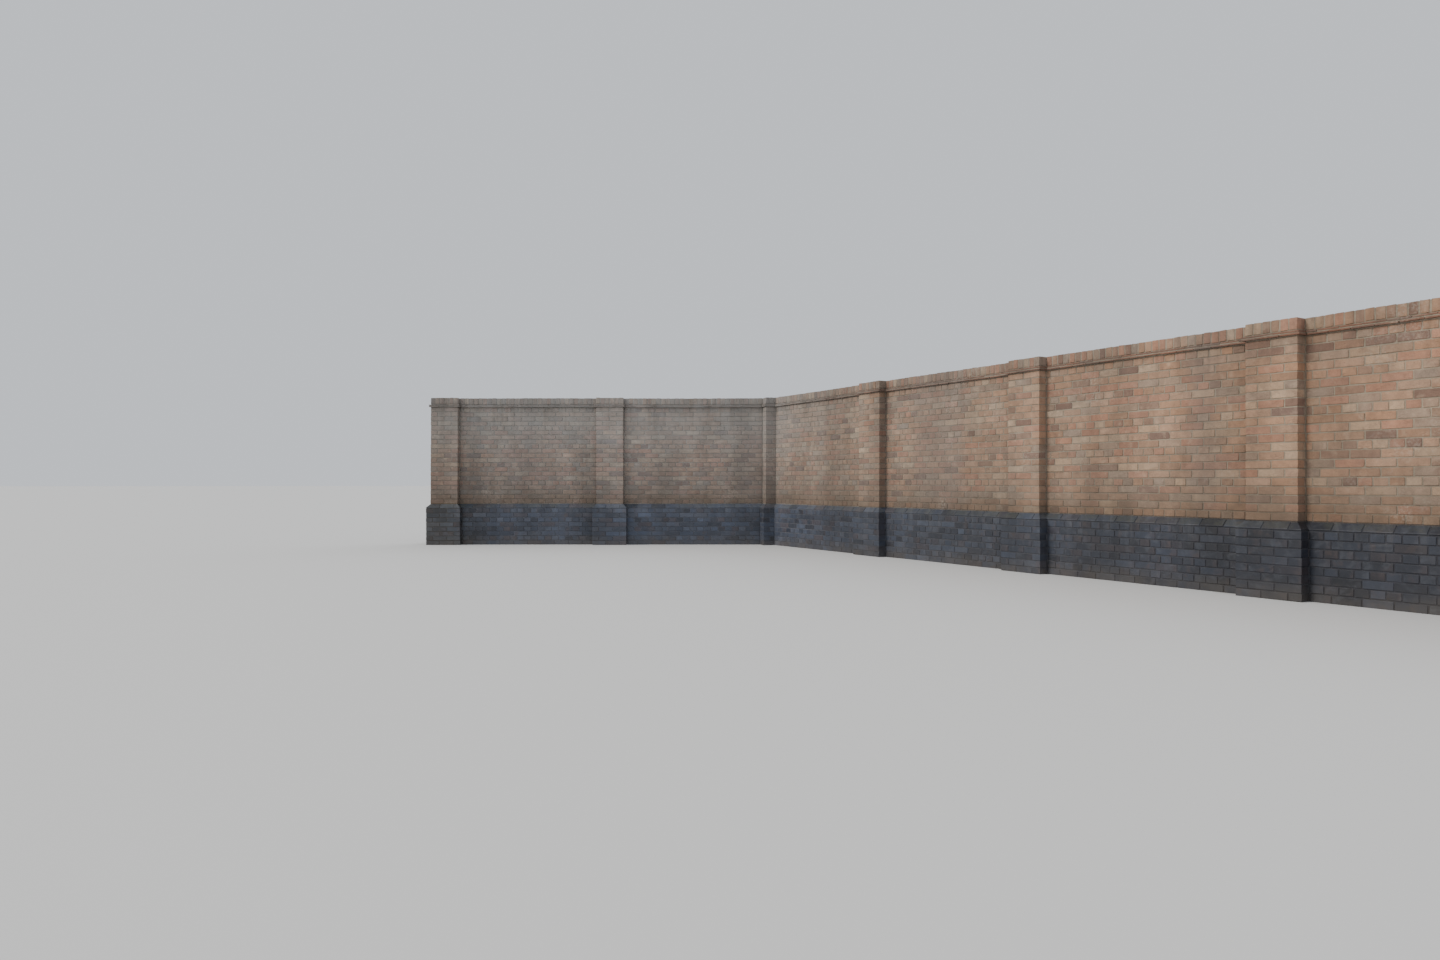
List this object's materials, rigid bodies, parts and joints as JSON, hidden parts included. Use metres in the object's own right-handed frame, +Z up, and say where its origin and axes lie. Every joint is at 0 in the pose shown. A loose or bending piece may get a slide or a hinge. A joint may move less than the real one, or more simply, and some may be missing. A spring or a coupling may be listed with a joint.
{
  "type": "brick garden wall",
  "caption": "Garden boundary wall of pale brick on a dark brick plinth, in two runs that meet at a corner pier, with square piers between the bays and a brick-on-edge coping.",
  "frame": {"origin": "on the ground, at the middle of the whole wall's outline seen from above", "axes": "+X along the back run, from its free end to the corner pier; +Y away from the garden side, square to the back run; +Z up"},
  "size_m": [11.4536, 10.0688, 2.4],
  "materials": {
    "facing_brick": "matte",
    "engineering_brick": "smooth matte",
    "creasing_tile": "matte",
    "coping_brick": "matte"
  },
  "bodies": {
    "root": {"left_pier_base": "engineering_brick", "left_pier_shaft": "facing_brick", "left_pier_cap": "coping_brick", "back_pier_base": "engineering_brick", "back_pier_shaft": "facing_brick", "back_pier_cap": "coping_brick", "corner_pier_base": "engineering_brick", "corner_pier_shaft": "facing_brick", "corner_pier_cap": "coping_brick", "side_pier_1_base": "engineering_brick", "side_pier_1_shaft": "facing_brick", "side_pier_1_cap": "coping_brick", "side_pier_2_base": "engineering_brick", "side_pier_2_shaft": "facing_brick", "side_pier_2_cap": "coping_brick", "side_pier_3_base": "engineering_brick", "side_pier_3_shaft": "facing_brick", "side_pier_3_cap": "coping_brick", "right_pier_base": "engineering_brick", "right_pier_shaft": "facing_brick", "right_pier_cap": "coping_brick", "back_plinth_1": "engineering_brick", "back_wall_1": "facing_brick", "back_creasing_1": "creasing_tile", "back_coping_1": "coping_brick", "back_plinth_2": "engineering_brick", "back_wall_2": "facing_brick", "back_creasing_2": "creasing_tile", "back_coping_2": "coping_brick", "side_plinth_1": "engineering_brick", "side_wall_1": "facing_brick", "side_creasing_1": "creasing_tile", "side_coping_1": "coping_brick", "side_plinth_2": "engineering_brick", "side_wall_2": "facing_brick", "side_creasing_2": "creasing_tile", "side_coping_2": "coping_brick", "side_plinth_3": "engineering_brick", "side_wall_3": "facing_brick", "side_creasing_3": "creasing_tile", "side_coping_3": "coping_brick", "side_plinth_4": "engineering_brick", "side_wall_4": "facing_brick", "side_creasing_4": "creasing_tile", "side_coping_4": "coping_brick"}
  },
  "joints": []
}
